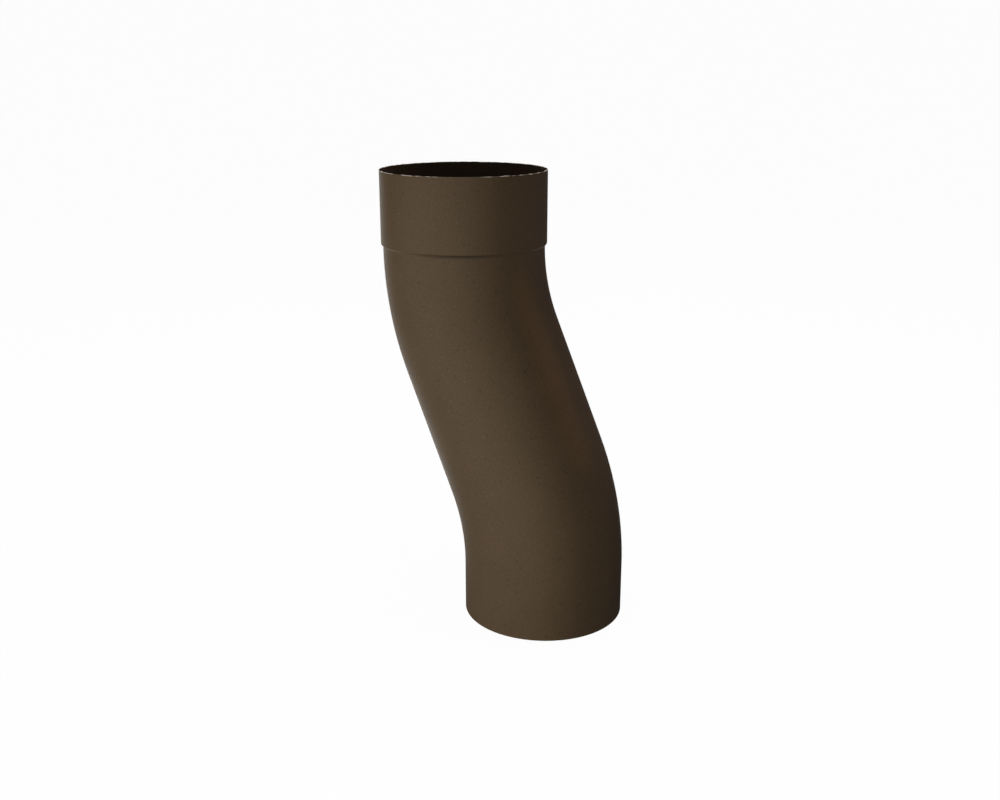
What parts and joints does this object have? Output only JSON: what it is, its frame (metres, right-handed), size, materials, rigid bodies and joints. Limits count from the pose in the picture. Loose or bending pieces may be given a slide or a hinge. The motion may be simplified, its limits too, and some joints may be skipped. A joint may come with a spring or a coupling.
{
  "type": "downpipe offset elbow",
  "caption": "Offset elbow for a round metal downpipe: a thin tube bent twice to step sideways, with a plain spigot below and a wider socket above.",
  "frame": {"origin": "centre of the spigot's rim, the lower end", "axes": "+Z along the spigot's axis, up towards the socket; the socket's axis is parallel to it, 60 mm away towards -X"},
  "size_m": [0.1613, 0.1026, 0.2748],
  "materials": {
    "coated_steel": "matte"
  },
  "bodies": {
    "root": {"offset_elbow": "coated_steel"}
  },
  "joints": []
}
